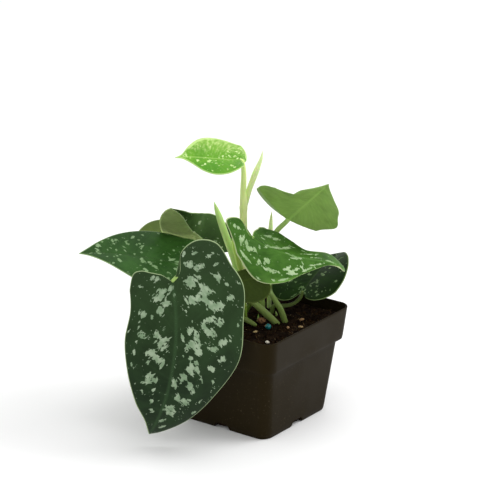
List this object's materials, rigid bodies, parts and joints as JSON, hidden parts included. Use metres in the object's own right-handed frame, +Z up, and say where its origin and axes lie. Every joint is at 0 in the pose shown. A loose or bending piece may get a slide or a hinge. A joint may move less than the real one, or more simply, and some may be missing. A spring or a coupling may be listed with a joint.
{
  "type": "potted pothos plant",
  "caption": "Young satin pothos with silver-blotched heart-shaped leaves, growing from dark soil in a small square black nursery pot.",
  "frame": {"origin": "middle of the pot's flat underside", "axes": "+Z up; the pot's sides are square to X and Y; the large hanging leaf is on the -Y side"},
  "size_m": [0.1616, 0.2055, 0.2029],
  "materials": {
    "pot": "satin dark brown-black moulded nursery plastic",
    "soil": "damp dark peat mix",
    "leaf_front": "living leaf, soft satin sheen, silver blotches on the upper side",
    "leaf_left": "living leaf, soft satin sheen, silver blotches on the upper side",
    "leaf_folded": "living leaf, soft satin sheen, silver blotches on the upper side",
    "leaf_rear_left": "living leaf, soft satin sheen, silver blotches on the upper side",
    "leaf_middle": "living leaf, soft satin sheen, silver blotches on the upper side",
    "leaf_right": "living leaf, soft satin sheen, silver blotches on the upper side",
    "leaf_under": "living leaf, soft satin sheen, silver blotches on the upper side",
    "leaf_top": "living leaf, soft satin sheen, silver blotches on the upper side",
    "leaf_upper_right": "living leaf, soft satin sheen, silver blotches on the upper side",
    "stem_top": "living green stalk, soft sheen",
    "sheath_top": "living green stalk, soft sheen",
    "stalk_front": "living green stalk, soft sheen",
    "stalk_left": "living green stalk, soft sheen",
    "stalk_folded": "living green stalk, soft sheen",
    "stalk_rear_left": "living green stalk, soft sheen",
    "stalk_middle": "living green stalk, soft sheen",
    "stalk_right": "living green stalk, soft sheen",
    "stalk_under": "living green stalk, soft sheen",
    "stalk_upper_right": "living green stalk, soft sheen",
    "shoot_small": "living green stalk, soft sheen",
    "shoot_tall": "living green stalk, soft sheen",
    "shoot_short": "living green stalk, soft sheen",
    "stem_low": "living green stalk, soft sheen",
    "shoot_low": "living green stalk, soft sheen",
    "shoot_rear": "living green stalk, soft sheen",
    "bark_nub": "small crumb on the soil",
    "bark_chip_orange": "small crumb on the soil",
    "feed_bead": "small crumb on the soil",
    "straw_chip_front": "small crumb on the soil",
    "perlite_front": "small crumb on the soil",
    "bark_chip_right": "small crumb on the soil",
    "straw_chip_right": "small crumb on the soil",
    "bark_chip_rear": "small crumb on the soil"
  },
  "bodies": {
    "root": {"pot": "pot", "soil": "soil", "leaf_front": "leaf_front", "leaf_left": "leaf_left", "leaf_folded": "leaf_folded", "leaf_rear_left": "leaf_rear_left", "leaf_middle": "leaf_middle", "leaf_right": "leaf_right", "leaf_under": "leaf_under", "leaf_top": "leaf_top", "leaf_upper_right": "leaf_upper_right", "stem_top": "stem_top", "sheath_top": "sheath_top", "stalk_front": "stalk_front", "stalk_left": "stalk_left", "stalk_folded": "stalk_folded", "stalk_rear_left": "stalk_rear_left", "stalk_middle": "stalk_middle", "stalk_right": "stalk_right", "stalk_under": "stalk_under", "stalk_upper_right": "stalk_upper_right", "shoot_small": "shoot_small", "shoot_tall": "shoot_tall", "shoot_short": "shoot_short", "stem_low": "stem_low", "shoot_low": "shoot_low", "shoot_rear": "shoot_rear", "bark_nub": "bark_nub", "bark_chip_orange": "bark_chip_orange", "feed_bead": "feed_bead", "straw_chip_front": "straw_chip_front", "perlite_front": "perlite_front", "bark_chip_right": "bark_chip_right", "straw_chip_right": "straw_chip_right", "bark_chip_rear": "bark_chip_rear"}
  },
  "joints": []
}
